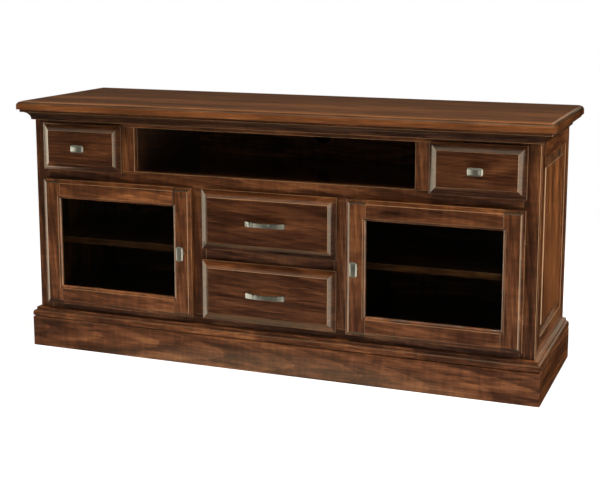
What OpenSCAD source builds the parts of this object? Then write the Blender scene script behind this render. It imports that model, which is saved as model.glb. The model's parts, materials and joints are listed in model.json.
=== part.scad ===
// Media console in stained wood: two glass doors, four drawers and an open bay
// under a rounded tabletop. Lengths are in millimetres. X runs along the front,
// the front looks to -Y, and Z is up from the floor.

/* [Case] */
// Width of the case across its face frame
case_w = 1592; // [1400:1:1900]
// Depth of the case from the face of its frame to its back edge
case_d = 474; // [460:1:600]
// Height of the case under the tabletop
case_h = 766; // [740:1:850]
// Thickness of decks, partitions, stretchers and shelves
board_t = 19; // [16:0.5:22]
// Thickness of the back panel
back_t = 6; // [4:0.5:8]
// Distance from the back panel to the back edge of the case
back_inset = 6; // [3:0.5:10]
// Depth of the rabbet that holds the back panel in each side
rabbet_w = 8; // [5:0.5:10]
// Width of the two stretchers under the tabletop
stretcher_w = 80; // [60:1:120]
// Diameter of the cable hole in the back panel
cable_d = 60; // [30:1:80]
// Height of the cable hole over the middle of the open bay
cable_up = 12; // [-10:1:15]
// Glue line between two boards of one sub-part
glue = 0.1; // [0.05:0.05:0.2]

/* [Tabletop] */
// Overhang of the tabletop at the front and sides
top_over = 42; // [36:1:60]
// Thickness of the tabletop
top_t = 26; // [20:0.5:32]
// Radius of the tabletop's upper edge
top_r = 13; // [6:0.5:16]
// Height of the small fillet over the rounded edge
top_fillet = 1; // [0.5:0.1:2]

/* [Crown moulding] */
// Height of the crown moulding
crown_h = 33.5; // [30:0.5:36]
// How far the crown moulding stands out
crown_p = 35; // [32:0.5:36]
// Height of its upper lip
crown_lip = 8.5; // [6:0.5:10]
// Height of the small fillet under the cove
crown_step = 1.5; // [1:0.5:3]
// How far the lip stands past the cove
crown_nose = 2; // [1:0.5:3]

/* [Base] */
// Height of the plinth boards
plinth_h = 96; // [70:1:110]
// Thickness of the plinth boards
plinth_t = 20; // [18:0.5:26]
// Radius of the plinth's upper edge
plinth_r = 3; // [1:0.5:4]
// Height of the base cap over the plinth
cap_h = 31; // [28:0.5:36]
// How far the bead of the base cap stands out
cap_p = 20; // [18:0.5:22]
// Height of the quirk under the bead
cap_quirk_h = 3; // [2:0.5:5]
// How far the quirk lies behind the bead
cap_quirk_in = 5; // [2:0.5:6]
// Radius of the bead
cap_r = 9; // [6:0.5:11]
// Height of the flat under the round of the bead
cap_flat_h = 9; // [6:0.5:10]
// Width of the groove over the bead
cap_groove = 1; // [1:0.5:2]
// Slope of the cap's upper side, from front to back
cap_slope = 2; // [1:0.5:4]
// Height of the bottom rail that shows over the base cap
base_reveal = 30; // [22:1:50]

/* [Face frame] */
// Thickness of the face frame
frame_t = 20; // [18:0.5:24]
// Width of the end stiles
end_stile_w = 44; // [40:1:60]
// Height of the top rail
top_rail_h = 45; // [40:1:60]
// Height of the rail over the doors
mid_rail_h = 47; // [42:1:60]
// Height of the bottom rail
base_rail_h = 87; // [60:1:130]
// Width of the stiles beside the open bay
upper_stile_w = 52; // [44:1:70]
// Width of the stiles beside the centre drawers
lower_stile_w = 52; // [44:1:70]
// Height of the rail between the centre drawers
drawer_rail_h = 53; // [40:1:70]
// Width of the open bay
bay_w = 890; // [700:1:950]
// Height of the open bay
bay_h = 136; // [120:1:170]
// Width of the opening for the centre drawers
centre_w = 410; // [340:1:480]

/* [Sides] */
// Thickness of the side frames
side_t = 20; // [18:0.5:22]
// Width of the front stile of a side frame
side_front_w = 48; // [44:1:70]
// Width of the back stile of a side frame
side_back_w = 62; // [56:1:80]
// Height of the top rail of a side frame
side_top_h = 85; // [70:1:110]
// Height of the bottom rail of a side frame
side_base_h = 176; // [140:1:200]
// Depth of the groove round the side panel
side_groove = 8; // [5:0.5:10]
// Thickness of the side panel's tongue
tongue_t = 6; // [5:0.5:7]
// How far the tongue lies behind the face of the side frame
tongue_in = 7; // [6:0.5:8]
// How far the raised field lies behind the face of the side frame
field_in = 2; // [0:0.5:3]
// Width of the bevel round the raised field
bevel_w = 28; // [15:1:40]
// Height of the small step round the raised field
bevel_step = 1.5; // [0.5:0.5:2]

/* [Doors] */
// How far fronts lap over the face frame
overlay = 10; // [8:0.5:12]
// Gap between a closed front and the face frame
door_gap = 2.5; // [2.5:0.1:4]
// Thickness of the doors and drawer fronts
front_t = 19; // [18:0.5:22]
// Width of the stiles and rails of a door
door_stile_w = 60; // [54:1:75]
// Width of the routed outer edge of a door
door_border = 11.5; // [8:0.5:12.5]
// Depth of the routed outer edge of a door
door_drop = 4.5; // [2.5:0.1:4.7]
// Radius of the bead round the glass
bead_r = 7.5; // [4:0.1:7.8]
// Width and depth of the quirk beside beads and fields
quirk = 1; // [0.5:0.1:1.5]
// Width of the rebate that holds the glass
rebate_w = 9; // [6:0.5:11]
// Depth of the wood in front of the glass
glass_in = 9; // [8:0.5:11]
// Thickness of the glass
glass_t = 4; // [3:0.5:5]
// Length of the tenons of the door rails
tenon_l = 32; // [20:1:40]
// Thickness of the tenons
tenon_t = 6; // [4:0.5:7]
// Distance of a tenon from the edges of its rail
tenon_in = 13; // [12:0.5:18]
// Distance of a tenon from the front of the door
tenon_front = 6; // [5.5:0.5:7]

/* [Drawer fronts] */
// Width of the coved border round a raised drawer front
cove_w = 23; // [14:0.5:26]
// Thickness of a drawer front at its edge
cove_edge = 7; // [6:0.5:12]
// Slope of the coved border at its edge, in degrees
cove_slope = 12; // [0:1:16]
// Lap of a small drawer front over the rail under it
small_lap_low = 8; // [5:0.5:10]
// Lap of a small drawer front over the rail above it
small_lap_top = 4; // [2:0.5:8]

/* [Drawer boxes] */
// Length of the drawer boxes
box_l = 400; // [350:1:420]
// Thickness of the sides and ends of a drawer box
box_t = 13; // [12:0.5:15]
// Space for a slide on each side of a drawer box
slide_w = 13; // [12:0.5:15]
// Space under a drawer box
box_lift = 16; // [12:1:22]
// Space over a drawer box
box_drop = 18; // [12:1:24]
// Thickness of a drawer bottom
bottom_t = 6; // [4:0.5:7]
// Height of a drawer bottom over the lower edge of its sides
bottom_up = 10; // [8:0.5:14]
// Depth of the groove round a drawer bottom
groove_d = 6; // [4:0.5:7]
// Height that one dovetail and its pin take
tail_pitch = 36; // [30:1:45]
// Share of that height that the tail takes at its end
tail_share = 0.62; // [0.5:0.01:0.7]
// Slope of a dovetail, as run over rise
tail_slope = 7; // [6:1:8]
// Height of the drawer slides
slide_h = 44; // [36:1:48]
// Wall thickness of the drawer slides
slide_t = 1.2; // [1:0.1:1.6]
// Running clearance between the two members of a slide
slide_clear = 0.3; // [0.2:0.05:0.5]
// Depth of the flanges of the slides
slide_flange = 10; // [8:0.5:10.5]
// Set-back of the outer slide member from the face of the frame
slide_back = 3; // [1:0.5:10]
// Thickness of the packing beside the centre drawers
pad_t = 17; // [10:0.5:25]
// How far the packing stands past a slide above and below
pad_up = 3; // [1:0.5:6]

/* [Shelves] */
// Height of a shelf's underside over the bottom deck
shelf_rise = 178; // [120:1:240]
// Set-back of a shelf from the face of the frame
shelf_in = 40; // [24:1:80]
// Clearance at each end of a shelf
shelf_clear = 0.8; // [0.5:0.1:0.9]
// Diameter of the shelf pins
pin_d = 4.9; // [4:0.1:6]
// Radial clearance of a shelf pin in its hole
pin_clear = 0.05; // [0.02:0.01:0.1]
// Pitch of the shelf pin holes
pin_pitch = 32; // [25:1:40]
// Number of holes in a row
pin_count = 5; // [3:2:7]
// Depth of a shelf pin hole
pin_in = 9; // [7:0.5:10]
// Length of a shelf pin outside its hole
pin_out = 8; // [6:0.5:12]
// Distance of the pin holes from the panel side of a side stile
pin_edge = 12; // [12:0.5:16]

/* [Hinges] */
// Distance of the hinge pin from the outer edge of the door
hinge_in = 6.5; // [6:0.1:6.6]
// Distance of the hinge pin from the back of the door
hinge_deep = 9; // [8.8:0.1:9.2]
// Diameter of a hinge pin
hinge_pin_d = 4; // [3:0.1:4.2]
// Diameter of the hub round a hinge pin
hub_d = 8; // [7:0.1:8.2]
// Radial clearance of a hinge pin
hinge_clear = 0.05; // [0.02:0.01:0.1]
// Distance of each hinge from the end of the door
hinge_up = 88; // [84:1:120]
// Diameter of a hinge cup
cup_d = 35; // [32:0.5:36]
// Depth of a hinge cup
cup_deep = 13.5; // [13.4:0.1:14]
// Distance of the cup's centre from the edge of the door
cup_edge = 20; // [19.5:0.5:22]
// Wall of a hinge cup
cup_wall = 1.5; // [1:0.1:2]
// Height of the knuckle beside the arm, on each side
knuckle_h = 3.2; // [2:0.1:5]
// Height of the hinge arm
arm_h = 5; // [4:0.1:6]
// Thickness of the hinge arm and its plate
arm_t = 4; // [3:0.1:4.2]
// Clearance between the hinge arm and the cup
arm_clear = 0.3; // [0.2:0.05:0.5]
// Height of the plate of a hinge arm
plate_h = 42; // [36:1:60]
// Distance of the plate from the front and back of the face frame
plate_in = 2; // [1:0.5:3]
// Distance between the screws of a plate
plate_screws = 28; // [22:1:30]
// Diameter of the hinge screws
screw_d = 3.4; // [3:0.1:4]
// Length of the hinge screws
screw_l = 18; // [14:1:30]

/* [Handles] */
// Length of a bow pull
pull_l = 124; // [110:1:150]
// Distance between the screws of a bow pull
pull_pitch = 96; // [80:1:100]
// How far a bow pull stands out
pull_reach = 28; // [24:0.5:34]
// How far the ends of a bow pull lie behind its middle
pull_sag = 14; // [10:0.5:16]
// Thickness of a bow pull
pull_t = 7; // [5:0.5:9]
// Height of a bow pull at its ends
pull_h = 16; // [12:0.5:20]
// How much lower a bow pull is in its middle
pull_waist = 3.5; // [1:0.5:4]
// Diameter of the feet of a bow pull
foot_d = 9; // [8:0.5:10]
// Length of a knob
knob_l = 44; // [34:0.5:50]
// Width of a knob
knob_w = 22.5; // [18:0.5:26]
// How far a knob stands out
knob_reach = 24; // [20:0.5:30]
// Thickness of a knob's rim
knob_rim = 4.5; // [3:0.5:6]
// Height of the dome of a knob
knob_dome = 5; // [3:0.5:7]
// How much more the ends of a knob are rounded than its long sides
knob_end = 2; // [0.5:0.5:3]
// Corner radius of a knob
knob_corner = 7; // [4:0.5:8]
// Diameter of a knob's stem
stem_d = 11; // [10:0.5:14]
// Diameter of a knob's foot
knob_foot_d = 17; // [14:0.5:18]
// Height of the foot of a knob or pull
foot_h = 2; // [1:0.5:4]
// Diameter of the handle screws
bolt_d = 4; // [3:0.1:4.5]
// Radial clearance of the handle screws
bolt_clear = 0.1; // [0.05:0.05:0.2]
// How far a handle screw goes into its handle
bolt_in = 8; // [5:0.5:9]
// Height of the head of a handle screw
bolt_head_h = 2.2; // [1.5:0.1:2.4]

/* [Hidden] */

$fn = 96;
wood = "#5a2c1a";
box_wood = "#d2b283";
plywood = "#b8925f";
nickel = "#b9b4a6";
steel = "#8c9094";
glass = [0.35, 0.4, 0.4, 0.5];

// Past this much, a cutter runs clear of the wood that it cuts
past = 1;
// A very wide arc is drawn with more steps
fine = 1080;

// The front reach of the handles or of the tabletop sets where the frame's face lies
front_reach = max(top_over, door_gap + front_t + max(pull_reach, knob_reach));
y_back = (case_d + front_reach) / 2;
y_face = y_back - case_d;
y_frame = y_face + frame_t;
y_panel = y_back - back_inset - back_t;
y_door = y_face - door_gap;
y_front = y_door - front_t;

// Half widths from the middle of the console
case_x = case_w / 2;
inner_x = case_x - side_t;
stile_x = case_x - end_stile_w;
bay_x = bay_w / 2;
small_x = bay_x + upper_stile_w;
centre_x = centre_w / 2;
door_x = centre_x + lower_stile_w;
wall_x = centre_x + pad_t;

// Heights of the openings in the face frame
floor_z = plinth_h + cap_h + base_reveal;
bay_top = case_h - top_rail_h;
bay_z = bay_top - bay_h;
low_top = bay_z - mid_rail_h;
drawer_h = (low_top - floor_z - drawer_rail_h) / 2;
stretcher_z = case_h - board_t;

// Openings of the right door and of the drawers, as x from, x to, z from, z to
door_hole = [door_x, stile_x, floor_z, low_top];
small_hole = [small_x, stile_x, bay_z, bay_top];
upper_hole = [-centre_x, centre_x, low_top - drawer_h, low_top];
lower_hole = [-centre_x, centre_x, floor_z, floor_z + drawer_h];

// Where the screws of the drawers' handles stand
small_holes = [mid_x(small_hole)];
pull_holes = [-pull_pitch / 2, pull_pitch / 2];

// What a front laps over its opening: at its sides, below and above
full_lap = [overlay, overlay, overlay];
small_lap = [overlay, small_lap_low, small_lap_top];

// The outline of a front, an outline drawn in by d, and the middle of an outline
function lapped(o, lap) = [o[0] - lap[0], o[1] + lap[0], o[2] - lap[1], o[3] + lap[2]];
function inset(o, d) = [o[0] + d, o[1] - d, o[2] + d, o[3] - d];
function mid_x(o) = (o[0] + o[1]) / 2;
function mid_z(o) = (o[2] + o[3]) / 2;

door = lapped(door_hole, full_lap);
sight = inset(door, door_stile_w);
glazing = inset(sight, -rebate_w);
rail_x = [sight[0], sight[1]];
door_knob_x = door[0] + door_stile_w / 2;

// The box behind an opening
function box_of(o) = [o[0] + slide_w, o[1] - slide_w, o[2] + box_lift, o[3] - box_drop];

// Hinge pins stand in the door, over the edge of the face frame
hinge_x = door[1] - hinge_in;
hinge_y = y_door - hinge_deep;
hinge_heights = [door[2] + hinge_up, door[3] - hinge_up];
hub_room = hub_d / 2 + arm_clear;
cup_x = door[1] - cup_edge;
cup_y = [y_door - cup_deep, y_door];
slot_h = arm_h + 2 * arm_clear;
knuckle_z = slot_h / 2 + knuckle_h;
leg_x = stile_x - arm_t;

// The opening of a side frame
side_open_y = [y_frame + side_front_w, y_back - side_back_w];
side_open_z = [side_base_h, case_h - side_top_h];

// The packing beside the small drawers and the centre drawers, as x from, x to and height
packing = [
    [stile_x, inner_x, mid_z(box_of(small_hole))],
    [bay_x + board_t, small_x, mid_z(box_of(small_hole))],
    [centre_x, wall_x, mid_z(box_of(upper_hole))],
    [centre_x, wall_x, mid_z(box_of(lower_hole))]
];

// The stretch along Y that the drawer boxes and the outer slide members take
box_y = [y_door, y_door + box_l];
slide_y = [y_face + slide_back, y_face + slide_back + box_l];
runner_y = [y_door + slide_back, box_y[1]];

// Rows of shelf pin holes
shelf_z = floor_z + shelf_rise;
pin_z = shelf_z - pin_d / 2;
pin_rows = [y_frame + side_front_w - pin_edge, y_back - side_back_w + pin_edge];
pin_r = pin_d / 2;

// The radius of an arc that starts at a slope and rises or drops d over a width w
function arc_r(w, d, slope = 0) = norm([w, d]) / (2 * sin(atan2(d, w) - slope));

// A plain board between two corners
module board(x, y, z) translate([x[0], y[0], z[0]]) cube([x[1] - x[0], y[1] - y[0], z[1] - z[0]]);

// A profile drawn as (y, z), (x, z) or (x, y), drawn out along the third direction
module along_x(x) translate([x[0], 0, 0]) rotate([90, 0, 90]) linear_extrude(x[1] - x[0]) children();
module along_y(y) translate([0, y[1], 0]) rotate([90, 0, 0]) linear_extrude(y[1] - y[0]) children();
module along_z(z) translate([0, 0, z[0]]) linear_extrude(z[1] - z[0]) children();

// A rod along Y from y[0] to y[1]
module rod_y(x, z, y, r) translate([x, y[0], z]) rotate([-90, 0, 0]) cylinder(h = y[1] - y[0], r = r);

module at_left() mirror([1, 0, 0]) children();
module both_sides() {
    children();
    mirror([1, 0, 0]) children();
}

// What a round of radius r takes off a corner at the origin
module corner_waste(r) translate([-r, -r]) difference() {
    square(r + past);
    circle(r);
}

// What the rounded edge and its fillet take off the tabletop
module top_edge_waste() {
    translate([0, -top_fillet]) corner_waste(top_r);
    translate([-top_r, -top_fillet]) square([top_r + past, top_fillet + past]);
}

module tabletop() color(wood) intersection() {
    along_x([-case_x - top_over, case_x + top_over]) difference() {
        translate([y_face - top_over, case_h]) square([case_d + top_over, top_t]);
        translate([y_face - top_over, case_h + top_t]) mirror([1, 0]) top_edge_waste();
    }
    along_y([y_face - top_over - past, y_back + past]) difference() {
        translate([-case_x - top_over, case_h]) square([case_w + 2 * top_over, top_t]);
        both_sides() translate([case_x + top_over, case_h + top_t]) top_edge_waste();
    }
}

// Runs a moulding profile along the front and both sides, mitred at the corners.
// The profile is drawn as (how far it stands out, height over z).
module mitred(z, h, p) {
    intersection() {
        along_x([-case_x - p, case_x + p]) translate([y_face, z]) mirror([1, 0]) children();
        along_z([z - past, z + h + past]) polygon([
            [-case_x + glue, y_face + past], [case_x - glue, y_face + past], [case_x - glue, y_face],
            [case_x + p - glue, y_face - p], [-case_x - p + glue, y_face - p], [-case_x + glue, y_face]
        ]);
    }
    both_sides() intersection() {
        along_y([y_face - p, y_back]) translate([case_x, z]) children();
        along_z([z - past, z + h + past]) polygon([
            [case_x, y_face], [case_x + p, y_face - p], [case_x + p, y_back + past],
            [case_x, y_back + past]
        ]);
    }
}

module crown_moulding() color(wood) mitred(case_h - crown_h, crown_h, crown_p + past) difference() {
    cove = crown_h - crown_lip - crown_step;
    cove_x = crown_p - crown_nose;
    square([crown_p, crown_h]);
    translate([cove_x, crown_step]) circle(cove);
    translate([cove_x, -past]) square([crown_nose + past, crown_h - crown_lip + past]);
    translate([cove_x - cove, -past]) square([cove + past, crown_step + past]);
}

module plinth() color(wood) mitred(0, plinth_h, plinth_t + past) difference() {
    square([plinth_t, plinth_h]);
    translate([plinth_t, plinth_h]) corner_waste(plinth_r);
}

module base_cap() color(wood) mitred(plinth_h, cap_h, cap_p + past) {
    bead_in = cap_p - cap_r;
    round_z = cap_quirk_h + cap_flat_h;
    groove_z = round_z + cap_r;
    square([cap_p - cap_quirk_in, cap_quirk_h + cap_flat_h / 2]);
    translate([0, cap_quirk_h]) square([cap_p, cap_flat_h]);
    translate([0, round_z - past]) square([bead_in, cap_r + past]);
    intersection() {
        translate([bead_in, round_z]) circle(cap_r);
        translate([0, round_z - past]) square([cap_p, cap_r + past]);
    }
    square([bead_in - cap_groove, cap_h - cap_slope]);
    polygon([
        [0, groove_z + cap_groove], [bead_in, groove_z + cap_groove],
        [bead_in, cap_h - cap_slope], [0, cap_h]
    ]);
}

module frame_end_stiles() color(wood) both_sides() difference() {
    board([stile_x, case_x], [y_face, y_frame], [0, case_h]);
    for (z = hinge_heights) plate_screw_places(z) screw_rod(screw_d / 2 + hinge_clear, screw_l + past);
}

module frame_top_rail() color(wood) board([-stile_x, stile_x], [y_face, y_frame], [bay_top, case_h]);

module frame_middle_rail() color(wood)
    board([-stile_x, stile_x], [y_face, y_frame], [low_top, bay_z]);

module frame_bottom_rail() color(wood)
    board([-stile_x, stile_x], [y_face, y_frame], [floor_z - base_rail_h, floor_z]);

module frame_drawer_rail() color(wood)
    board([-centre_x, centre_x], [y_face, y_frame], [lower_hole[3], upper_hole[2]]);

module frame_upper_stiles() color(wood) both_sides()
    board([bay_x, small_x], [y_face, y_frame], [bay_z, bay_top]);

module frame_lower_stiles() color(wood) both_sides()
    board([centre_x, door_x], [y_face, y_frame], [floor_z, low_top]);

// The section of a side panel, as (distance behind the face, place across the panel)
module panel_section(w) polygon([
    [-tongue_in - tongue_t, -w / 2], [-tongue_in, -w / 2], [-tongue_in, side_groove - w / 2],
    [-field_in - bevel_step, side_groove + bevel_w - w / 2], [-field_in, side_groove + bevel_w - w / 2],
    [-field_in, w / 2 - side_groove - bevel_w], [-field_in - bevel_step, w / 2 - side_groove - bevel_w],
    [-tongue_in, w / 2 - side_groove], [-tongue_in, w / 2], [-tongue_in - tongue_t, w / 2]
]);

module side_panel() color(wood) {
    w = side_open_y[1] - side_open_y[0] + 2 * side_groove;
    h = side_open_z[1] - side_open_z[0] + 2 * side_groove;
    translate([case_x, (side_open_y[0] + side_open_y[1]) / 2, (side_open_z[0] + side_open_z[1]) / 2])
        intersection() {
            along_z([-h / 2, h / 2]) panel_section(w);
            along_y([-w / 2, w / 2]) panel_section(h);
        }
}

module side_frame() color(wood) difference() {
    union() {
        board([inner_x, case_x], [y_frame, side_open_y[0]], [0, case_h]);
        board([inner_x, case_x], [side_open_y[1], y_back], [0, case_h]);
        for (z = [[0, side_open_z[0]], [side_open_z[1], case_h]])
            board([inner_x, case_x], [side_open_y[0] + glue, side_open_y[1] - glue], z);
    }
    groove_x = case_x - tongue_in;
    board([groove_x - tongue_t, groove_x], [side_open_y[0] - side_groove, side_open_y[1] + side_groove],
        [side_open_z[0] - side_groove, side_open_z[1] + side_groove]);
    board([inner_x - past, inner_x + rabbet_w], [y_panel, y_back + past],
        [floor_z - board_t, case_h + past]);
    pin_holes(inner_x, 1);
}

module left_side_frame() at_left() side_frame();
module left_side_panel() at_left() side_panel();
module right_side_frame() side_frame();
module right_side_panel() side_panel();

module deck(z) board([-inner_x, inner_x], [y_frame, y_panel], [z - board_t, z]);

module bottom_deck() color(wood) deck(floor_z);
module middle_deck() color(wood) deck(bay_z);

module stretchers(x) for (y = [[y_frame, y_frame + stretcher_w], [y_panel - stretcher_w, y_panel]])
    board([-x, x], y, [stretcher_z, case_h]);

module top_stretchers() color(wood) stretchers(inner_x);

module upper_partitions() color(wood) difference() {
    both_sides() board([bay_x, bay_x + board_t], [y_frame, y_panel], [bay_z, case_h]);
    stretchers(inner_x);
}

module lower_partitions() color(wood) both_sides() difference() {
    board([wall_x, wall_x + board_t], [y_frame, y_panel], [floor_z, bay_z - board_t]);
    pin_holes(wall_x + board_t, -1);
}

module back_panel() color(plywood) difference() {
    board([-inner_x - rabbet_w, inner_x + rabbet_w], [y_panel, y_panel + back_t],
        [floor_z - board_t, case_h]);
    rod_y(0, mid_z(small_hole) + cable_up, [y_panel - past, y_panel + back_t + past], cable_d / 2);
}

// Rows of pin holes in a wall at x, which lies towards side
module pin_holes(x, side) for (y = pin_rows, i = [0 : pin_count - 1])
    translate([x - side * past, y, pin_z + (i - (pin_count - 1) / 2) * pin_pitch])
        rotate([0, side * 90, 0]) cylinder(h = pin_in + past, r = pin_r + pin_clear);

// A shelf pin in a wall at x
module shelf_pin(x, y, side) translate([x - side * pin_out, y, pin_z]) rotate([0, side * 90, 0])
    cylinder(h = pin_out + pin_in - past, r = pin_r);

module shelf_pins() color(nickel) both_sides() for (y = pin_rows) {
    shelf_pin(inner_x, y, 1);
    shelf_pin(wall_x + board_t, y, -1);
}

module shelf() color(wood) board([wall_x + board_t + shelf_clear, inner_x - shelf_clear],
    [y_face + shelf_in, y_panel - shelf_clear], [shelf_z, shelf_z + board_t]);

module left_shelf() at_left() shelf();
module right_shelf() shelf();

module slide_packing() color(plywood) both_sides() for (p = packing)
    board([p[0], p[1]], [y_frame, y_panel], [p[2] - slide_h / 2 - pad_up, p[2] + slide_h / 2 + pad_up]);

// A channel of height h with its back on a wall at the origin, open towards -X
module channel(h, d) difference() {
    translate([-d, -h / 2]) square([d, h]);
    translate([-d - past, slide_t - h / 2]) square([d + past - slide_t, h - 2 * slide_t]);
}

// The outer slide members on both walls of an opening
module outer_slides(o) {
    z = mid_z(box_of(o));
    translate([o[1], 0, z]) along_y(slide_y) channel(slide_h, slide_flange);
    translate([o[0], 0, z]) mirror([1, 0, 0]) along_y(slide_y) channel(slide_h, slide_flange);
}

module cabinet_slides() color(steel) {
    both_sides() outer_slides(small_hole);
    outer_slides(upper_hole);
    outer_slides(lower_hole);
}

// The inner slide members on both sides of a drawer box, open towards the walls
module runners(o) color(steel) {
    z = mid_z(box_of(o));
    h = slide_h - 2 * (slide_t + slide_clear);
    translate([o[1] - slide_w, 0, z]) mirror([1, 0, 0]) along_y(runner_y) channel(h, slide_flange);
    translate([o[0] + slide_w, 0, z]) along_y(runner_y) channel(h, slide_flange);
}

// Hinges

// The plan of the room that a hinge arm needs in the door as the door turns
module arm_room() {
    board_2d([leg_x - arm_t / 2, hinge_x + hub_room], [hinge_y - hub_room, y_door + past]);
    board_2d([hinge_x, door[1] + past], [hinge_y + hinge_pin_d * 0.3, y_door + past]);
}

module board_2d(x, y) translate([x[0], y[0]]) square([x[1] - x[0], y[1] - y[0]]);

// The outside of a cup and its knuckle, with the knuckle drawn out to x
module cup_block(z, x) {
    rod_y(cup_x, z, cup_y, cup_d / 2);
    board([hinge_x - hub_room, x], cup_y, [z - knuckle_z, z + knuckle_z]);
}

// The slot for the arm, through the cup and the edge of the door
module arm_slot(z) along_z([z - slot_h / 2, z + slot_h / 2]) arm_room();

module hinge_cup(z) difference() {
    union() {
        difference() {
            rod_y(cup_x, z, cup_y, cup_d / 2);
            rod_y(cup_x, z, [cup_y[0] + cup_wall, cup_y[1] + past], cup_d / 2 - cup_wall);
        }
        board([hinge_x - hub_room, door[1] - arm_clear], cup_y, [z - knuckle_z, z + knuckle_z]);
    }
    arm_slot(z);
    translate([hinge_x, hinge_y, z - knuckle_z - past])
        cylinder(h = 2 * (knuckle_z + past), r = hinge_pin_d / 2 + hinge_clear);
}

// Places for the two screws of a plate at height z, on the edge of the face frame
module plate_screw_places(z) for (s = [-1, 1])
    translate([leg_x, (y_face + y_frame) / 2, z + s * plate_screws / 2]) children();

// A rod and a countersunk screw that run into the end stile
module screw_rod(r, l) rotate([0, 90, 0]) cylinder(h = l, r = r);
module screw(clear) {
    screw_rod(screw_d / 2 + clear, screw_l);
    rotate([0, 90, 0]) cylinder(h = screw_d / 2 + clear, r1 = screw_d + clear, r2 = screw_d / 2 + clear);
}

module hinge_arm(z) difference() {
    union() {
        along_z([z - arm_h / 2, z + arm_h / 2]) {
            translate([hinge_x, hinge_y]) circle(hub_d / 2);
            board_2d([leg_x, hinge_x], [hinge_y - arm_t / 2, hinge_y + arm_t / 2]);
            board_2d([leg_x, stile_x], [hinge_y - arm_t / 2, y_frame - plate_in]);
        }
        board([leg_x, stile_x], [y_face + plate_in, y_frame - plate_in], [z - plate_h / 2, z + plate_h / 2]);
        translate([hinge_x, hinge_y, z - knuckle_z]) cylinder(h = 2 * knuckle_z, r = hinge_pin_d / 2);
    }
    plate_screw_places(z) translate([-hinge_clear, 0, 0]) screw(hinge_clear);
}

module hinge_arms() color(steel) both_sides() for (z = hinge_heights) hinge_arm(z);

module hinge_screws() color(nickel) both_sides() for (z = hinge_heights)
    plate_screw_places(z) screw(0);

// Fronts

// The section of a board w wide with a routed border that starts edge thick at a slope,
// as (place across, thickness from the back)
module raised_section(w, border, edge, slope) {
    drop = front_t - quirk - edge;
    r = arc_r(border, drop, slope);
    difference() {
        translate([-w / 2, 0]) square([w, front_t]);
        for (m = [0, 1]) mirror([m, 0]) intersection() {
            translate([w / 2 + r * sin(slope), edge + r * cos(slope)]) circle(r);
            translate([w / 2 - border, 0]) square([border + past, front_t + past]);
        }
    }
}

// A board with outline o and a routed border all round, its back on y_door
module raised_board(o, border, edge, slope = 0) {
    w = o[1] - o[0];
    h = o[3] - o[2];
    translate([mid_x(o), y_door, mid_z(o)]) intersection() {
        along_z([-h / 2, h / 2]) mirror([0, 1]) raised_section(w, border, edge, slope);
        along_x([-w / 2, w / 2]) rotate(90) raised_section(h, border, edge, slope);
    }
}

// The section of an opening w wide with a bead round its front edge
module sight_section(w) {
    foot = front_t - quirk - bead_r;
    translate([-w / 2, -past]) square([w, front_t + 2 * past]);
    for (m = [0, 1]) mirror([m, 0]) translate([w / 2, foot]) difference() {
        square([bead_r + quirk, bead_r + quirk + past]);
        translate([bead_r, 0]) circle(bead_r);
        translate([bead_r, 0]) square([quirk, bead_r]);
    }
}

module door_blank() difference() {
    w = sight[1] - sight[0];
    h = sight[3] - sight[2];
    wide = bead_r + quirk + past;
    raised_board(door, door_border, front_t - door_drop);
    translate([mid_x(sight), y_door, mid_z(sight)]) intersection() {
        along_z([-h / 2 - wide, h / 2 + wide]) mirror([0, 1]) sight_section(w);
        along_x([-w / 2 - wide, w / 2 + wide]) rotate(90) sight_section(h);
    }
    board([glazing[0], glazing[1]], [y_front + glass_in, y_door + past], [glazing[2], glazing[3]]);
}

// Tenons of length l on both rails of a door, right through from one end to the other
module door_tenons(l, grow) {
    front = y_front + tenon_front;
    for (z = [[door[2], sight[2]], [sight[3], door[3]]])
        board([rail_x[0] - l, rail_x[1] + l], [front - grow, front + tenon_t + grow],
            [z[0] + tenon_in - grow, z[1] - tenon_in + grow]);
}

module door_stiles() color(wood) difference() {
    intersection() {
        door_blank();
        for (x = [[door[0] - past, rail_x[0]], [rail_x[1], door[1] + past]])
            board(x, [y_front - past, y_door + past], [door[2] - past, door[3] + past]);
    }
    door_tenons(tenon_l + glue, glue);
    for (z = hinge_heights) {
        cup_block(z, door[1] + past);
        arm_slot(z);
    }
    bolt_hole(door_knob_x, mid_z(door), y_door);
}

module door_rails() color(wood) {
    intersection() {
        door_blank();
        board(rail_x, [y_front - past, y_door + past], [door[2] - past, door[3] + past]);
    }
    difference() {
        door_tenons(tenon_l, 0);
        board([rail_x[0] + past, rail_x[1] - past], [y_front, y_door], [door[2], door[3]]);
    }
}

module door_glass() color(glass) board([glazing[0], glazing[1]],
    [y_front + glass_in, y_front + glass_in + glass_t], [glazing[2], glazing[3]]);

module door_beads() color(wood) {
    y = [y_front + glass_in + glass_t, y_door];
    for (z = [[glazing[2], sight[2]], [sight[3], glazing[3]]]) board([glazing[0], glazing[1]], y, z);
    for (x = [[glazing[0], sight[0]], [sight[1], glazing[1]]])
        board(x, y, [sight[2] + glue, sight[3] - glue]);
}

module door_hinge_cups() color(nickel) for (z = hinge_heights) hinge_cup(z);

module door_knob() color(nickel) handle_at(door_knob_x, mid_z(door)) {
    rotate([0, 90, 0]) knob();
    bolt(front_t);
}

module left_door_stiles() at_left() door_stiles();
module left_door_rails() at_left() door_rails();
module left_door_glass() at_left() door_glass();
module left_door_beads() at_left() door_beads();
module left_door_knob() at_left() door_knob();
module left_door_hinge_cups() at_left() door_hinge_cups();
module right_door_stiles() door_stiles();
module right_door_rails() door_rails();
module right_door_glass() door_glass();
module right_door_beads() door_beads();
module right_door_knob() door_knob();
module right_door_hinge_cups() door_hinge_cups();

// Handles are drawn on the face of a front, standing out towards -Y

module handle_at(x, z) translate([x, y_front, z]) children();

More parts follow.
